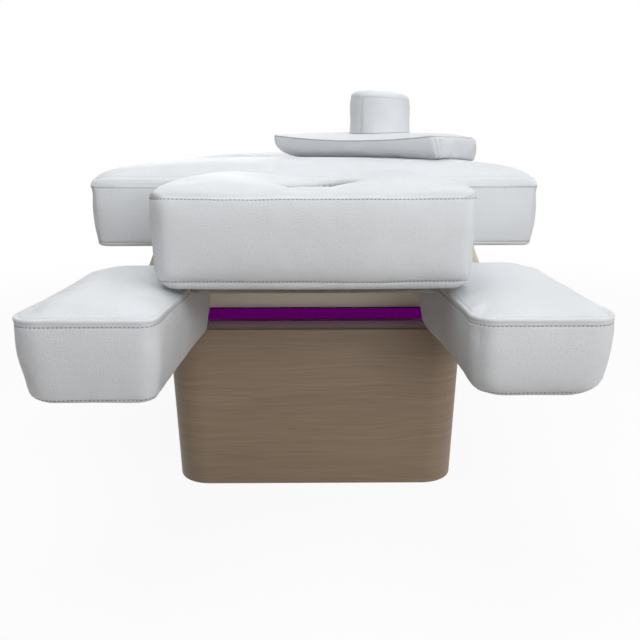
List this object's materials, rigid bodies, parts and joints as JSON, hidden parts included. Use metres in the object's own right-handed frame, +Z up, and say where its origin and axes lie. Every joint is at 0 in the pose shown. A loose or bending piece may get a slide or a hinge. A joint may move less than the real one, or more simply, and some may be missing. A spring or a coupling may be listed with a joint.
{
  "type": "electric facial bed",
  "caption": "Motorised facial bed with hinged white cushions, a face hole, lowered arm pads, a loose pillow and plug, and a lit wood-effect lifting base.",
  "frame": {"origin": "on the floor, under the middle of the bed's outer box", "axes": "+Z up, +Y from the head end to the foot end, +X to the right of someone who looks from the head end"},
  "size_m": [0.778, 1.96, 0.7284],
  "materials": {
    "white_leather": "satin white synthetic leather with fine grain and stitched seams",
    "dark_board": "board wrapped in dark backing cloth",
    "wood_panel": "brown wood-effect laminate with level grain",
    "rim_board": "dark laminate edge",
    "light_diffuser": "translucent diffuser lit purple",
    "cream_paint": "satin cream paint",
    "frame_steel": "dark powder coat",
    "hinge_steel": "zinc-plated steel",
    "column_chrome": "bright plated steel",
    "black_plastic": "matte black housing",
    "foot_rubber": "black rubber"
  },
  "bodies": {
    "base": {"base_panel_head": "wood_panel", "base_panel_foot": "wood_panel", "base_panel_left": "wood_panel", "base_panel_right": "wood_panel", "base_top_board": "rim_board", "base_floor_plate": "frame_steel", "foot_head_left": "foot_rubber", "foot_head_right": "foot_rubber", "foot_foot_left": "foot_rubber", "foot_foot_right": "foot_rubber", "led_strip_head": "light_diffuser", "led_strip_foot": "light_diffuser", "led_strip_left": "light_diffuser", "led_strip_right": "light_diffuser", "column_outer_head": "frame_steel", "column_outer_foot": "frame_steel", "control_box": "black_plastic", "socket_plate": "black_plastic"},
    "lift_middle": {"column_middle_head": "column_chrome", "column_middle_foot": "column_chrome"},
    "lift": {"column_inner_head": "column_chrome", "column_inner_foot": "column_chrome", "frame_rail_left": "frame_steel", "frame_rail_right": "frame_steel", "frame_cross_head": "frame_steel", "frame_cross_foot": "frame_steel", "cover_panel_head": "cream_paint", "cover_panel_foot": "cream_paint", "cover_panel_left": "cream_paint", "cover_panel_right": "cream_paint", "seat_board": "dark_board", "seat_cushion": "white_leather", "seat_hinge_leaf": "hinge_steel", "seat_leg_leaf": "hinge_steel", "back_actuator": "black_plastic", "leg_actuator": "black_plastic"},
    "back": {"back_board": "dark_board", "back_cushion": "white_leather", "back_hinge_leaf": "hinge_steel", "back_head_leaf": "hinge_steel", "back_lever": "frame_steel", "arm_left_hanger": "cream_paint", "arm_right_hanger": "cream_paint"},
    "head": {"head_board": "dark_board", "head_cushion": "white_leather", "head_hinge_leaf": "hinge_steel"},
    "leg": {"leg_board": "dark_board", "leg_cushion": "white_leather", "leg_hinge_leaf": "hinge_steel", "leg_lever": "frame_steel"},
    "arm_left": {"arm_left_board": "dark_board", "arm_left_cushion": "white_leather"},
    "arm_right": {"arm_right_board": "dark_board", "arm_right_cushion": "white_leather"},
    "back_rod": {"back_rod": "column_chrome"},
    "leg_rod": {"leg_rod": "column_chrome"},
    "pillow": {"head_pillow": "white_leather"},
    "plug": {"face_hole_plug": "white_leather"}
  },
  "joints": [
    {"name": "lift_raise", "type": "slide", "parent": "base", "child": "lift", "axis": [0, 0, 1], "range_m": [0, 0.28]},
    {"name": "lift_middle_raise", "type": "slide", "parent": "base", "child": "lift_middle", "axis": [0, 0, 1], "range_m": [0, 0.14]},
    {"name": "back_tilt", "type": "hinge", "parent": "lift", "child": "back", "pos_m": [0, -0.018, 0.556], "axis": [-1, 0, 0], "range_deg": [0, 60]},
    {"name": "back_rod_slide", "type": "slide", "parent": "lift", "child": "back_rod", "axis": [0, -1, 0], "range_m": [0, 0.186]},
    {"name": "head_tilt", "type": "hinge", "parent": "back", "child": "head", "pos_m": [0, -0.57, 0.556], "axis": [-1, 0, 0], "range_deg": [0, 40]},
    {"name": "leg_tilt", "type": "hinge", "parent": "lift", "child": "leg", "pos_m": [0, 0.354, 0.4417], "axis": [-1, 0, 0], "range_deg": [0, 35]},
    {"name": "leg_rod_slide", "type": "slide", "parent": "lift", "child": "leg_rod", "axis": [0, -1, 0], "range_m": [0, 0.046]},
    {"name": "arm_left_swing", "type": "hinge", "parent": "back", "child": "arm_left", "pos_m": [-0.308, -0.535, 0.318], "axis": [0, 0, -1], "range_deg": [0, 80]},
    {"name": "arm_right_swing", "type": "hinge", "parent": "back", "child": "arm_right", "pos_m": [0.308, -0.535, 0.318], "axis": [0, 0, 1], "range_deg": [0, 80]},
    {"name": "pillow_lift", "type": "slide", "parent": "back", "child": "pillow", "axis": [0, 0, 1], "range_m": [0, 0.3]},
    {"name": "plug_lift", "type": "slide", "parent": "pillow", "child": "plug", "axis": [0, 0, 1], "range_m": [0, 0.3]}
  ],
  "couplings": [
    {"joint": "lift_middle_raise", "follows": "lift_raise", "ratio": 0.5},
    {"joint": "back_rod_slide", "follows": "back_tilt", "m_per_rad": 0.1776},
    {"joint": "leg_rod_slide", "follows": "leg_tilt", "m_per_rad": 0.0752}
  ]
}
